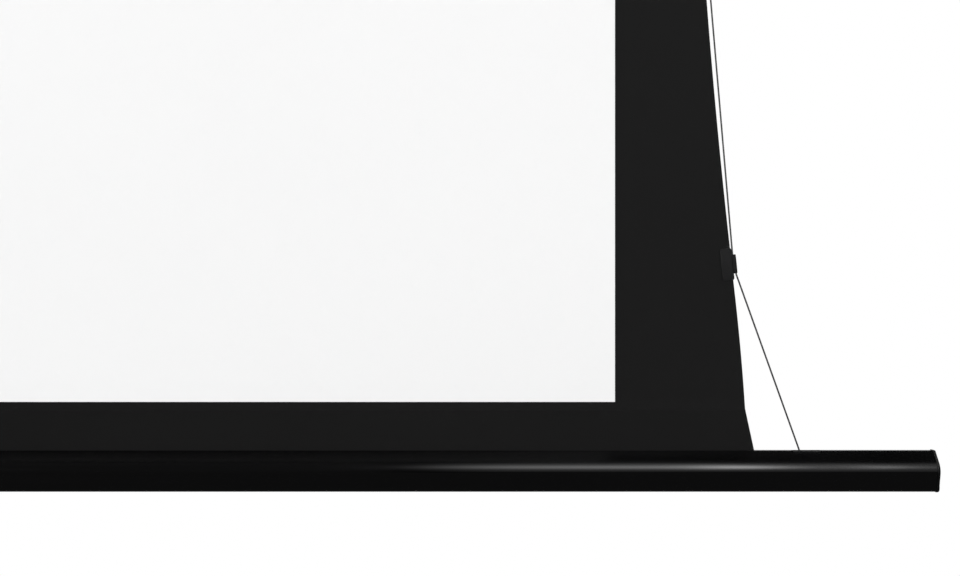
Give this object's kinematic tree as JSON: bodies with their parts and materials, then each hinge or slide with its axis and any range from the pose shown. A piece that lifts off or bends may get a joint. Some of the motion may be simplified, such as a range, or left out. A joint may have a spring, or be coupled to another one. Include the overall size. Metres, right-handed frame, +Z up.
{
  "type": "motorized projector screen",
  "caption": "Motorized projector screen: white viewing surface with a black border, held flat by side tension cords between a wall-hung case with motor and roller and a glossy bottom bar.",
  "frame": {"origin": "middle of the case's flat back, which lies against the wall", "axes": "+Z up, +X to the viewer's right along the case, and +Y through the case's back into the wall, so the white side faces -Y"},
  "size_m": [2.8163, 0.127, 1.9247],
  "materials": {
    "case_black": "satin",
    "bar_black": "gloss",
    "gloss_plastic": "gloss",
    "black_plastic": "satin",
    "black_fabric": "matte",
    "white_vinyl": "matte",
    "tab_plastic": "satin",
    "black_cord": "matte",
    "black_rubber": "matte",
    "bare_aluminium": "satin",
    "zinc_steel": "satin",
    "grey_plastic": "satin",
    "infrared_acrylic": "gloss",
    "green_lens": "gloss",
    "yellow_plastic": "satin",
    "white_plastic": "satin"
  },
  "bodies": {
    "case": {"rear_channel": "case_black", "front_cover": "case_black", "bottom_panel": "case_black", "control_panel": "case_black", "slot_guide_strip": "black_plastic", "left_end_cap": "black_plastic", "right_end_cap": "black_plastic", "motor_plate": "zinc_steel", "motor_head": "black_plastic", "motor_tube": "bare_aluminium", "motor_lead": "black_rubber", "idler_plate": "zinc_steel", "idler_pin": "zinc_steel", "control_box": "black_plastic", "ir_window": "infrared_acrylic", "status_lamp": "green_lens", "power_inlet": "black_plastic", "trigger_socket": "grey_plastic", "screen_fabric": "black_fabric", "viewing_surface": "white_vinyl", "left_tab_1": "tab_plastic", "left_tab_2": "tab_plastic", "left_tab_3": "tab_plastic", "left_tab_4": "tab_plastic", "left_tab_5": "tab_plastic", "right_tab_1": "tab_plastic", "right_tab_2": "tab_plastic", "right_tab_3": "tab_plastic", "right_tab_4": "tab_plastic", "right_tab_5": "tab_plastic", "left_tension_cord": "black_cord", "right_tension_cord": "black_cord"},
    "roller": {"roller_tube": "bare_aluminium", "roller_key_rod": "grey_plastic", "wound_fabric": "black_fabric", "left_cord_spool": "black_plastic", "right_cord_spool": "black_plastic", "limit_crown": "black_plastic", "drive_wheel": "black_plastic", "idler_plug": "black_plastic", "idler_bearing": "zinc_steel"},
    "bar": {"bottom_bar": "bar_black", "bar_hem_rod": "grey_plastic", "left_bar_cap": "gloss_plastic", "right_bar_cap": "gloss_plastic", "left_cord_guide": "black_plastic", "right_cord_guide": "black_plastic"},
    "left_hanger": {"left_bracket": "zinc_steel"},
    "right_hanger": {"right_bracket": "zinc_steel"},
    "left_clamp": {"left_clamp_screw": "zinc_steel"},
    "right_clamp": {"right_clamp_screw": "zinc_steel"},
    "upper_limit": {"upper_limit_screw": "yellow_plastic"},
    "lower_limit": {"lower_limit_screw": "white_plastic"},
    "button": {"manual_button": "grey_plastic"},
    "left_tensioner": {"left_tension_screw": "zinc_steel"},
    "right_tensioner": {"right_tension_screw": "zinc_steel"},
    "left_take_up": {"left_tension_nut": "zinc_steel", "left_cord_tail": "black_cord"},
    "right_take_up": {"right_tension_nut": "zinc_steel", "right_cord_tail": "black_cord"}
  },
  "joints": [
    {"name": "bar_lift", "type": "slide", "parent": "case", "child": "bar", "axis": [0, 0, 1], "range_m": [0, 1.715], "deforming": ["screen_fabric", "viewing_surface", "left_tab_1", "left_tab_2", "left_tab_3", "left_tab_4", "left_tab_5", "right_tab_1", "right_tab_2", "right_tab_3", "right_tab_4", "right_tab_5", "left_tension_cord", "right_tension_cord"]},
    {"name": "roller_spin", "type": "hinge", "parent": "case", "child": "roller", "pos_m": [0, -0.066, 0.006], "axis": [1, 0, 0], "range_deg": [0, 2680]},
    {"name": "left_hanger_slide", "type": "slide", "parent": "case", "child": "left_hanger", "axis": [1, 0, 0], "range_m": [-0.47, 0.86]},
    {"name": "right_hanger_slide", "type": "slide", "parent": "case", "child": "right_hanger", "axis": [1, 0, 0], "range_m": [-0.86, 0.47]},
    {"name": "left_clamp_turn", "type": "hinge", "parent": "left_hanger", "child": "left_clamp", "pos_m": [-0.9, -0.044, 0.078], "axis": [0, 0, 1], "range_deg": [0, 1440]},
    {"name": "right_clamp_turn", "type": "hinge", "parent": "right_hanger", "child": "right_clamp", "pos_m": [0.9, -0.044, 0.078], "axis": [0, 0, 1], "range_deg": [0, 1440]},
    {"name": "upper_limit_turn", "type": "hinge", "parent": "case", "child": "upper_limit", "pos_m": [-1.3176, -0.066, -0.019], "axis": [0, 0, 1], "continuous": true},
    {"name": "lower_limit_turn", "type": "hinge", "parent": "case", "child": "lower_limit", "pos_m": [-1.2996, -0.066, -0.019], "axis": [0, 0, 1], "continuous": true},
    {"name": "button_press", "type": "slide", "parent": "case", "child": "button", "axis": [0, 0, 1], "range_m": [0, 0.0015], "stiffness_N_per_m": 400},
    {"name": "left_tensioner_turn", "type": "hinge", "parent": "bar", "child": "left_tensioner", "pos_m": [-1.3, -0.0339, -1.7955], "axis": [1, 0, 0], "range_deg": [0, 5401]},
    {"name": "right_tensioner_turn", "type": "hinge", "parent": "bar", "child": "right_tensioner", "pos_m": [1.3, -0.0339, -1.7955], "axis": [-1, 0, 0], "range_deg": [0, 5401]},
    {"name": "left_take_up_slide", "type": "slide", "parent": "bar", "child": "left_take_up", "axis": [-1, 0, 0], "range_m": [0, 0.012]},
    {"name": "right_take_up_slide", "type": "slide", "parent": "bar", "child": "right_take_up", "axis": [1, 0, 0], "range_m": [0, 0.012]}
  ],
  "couplings": [
    {"joint": "roller_spin", "follows": "bar_lift", "rad_per_m": 27.248},
    {"joint": "left_tensioner_turn", "follows": "left_take_up_slide", "rad_per_m": 7854},
    {"joint": "right_tensioner_turn", "follows": "right_take_up_slide", "rad_per_m": 7854}
  ]
}
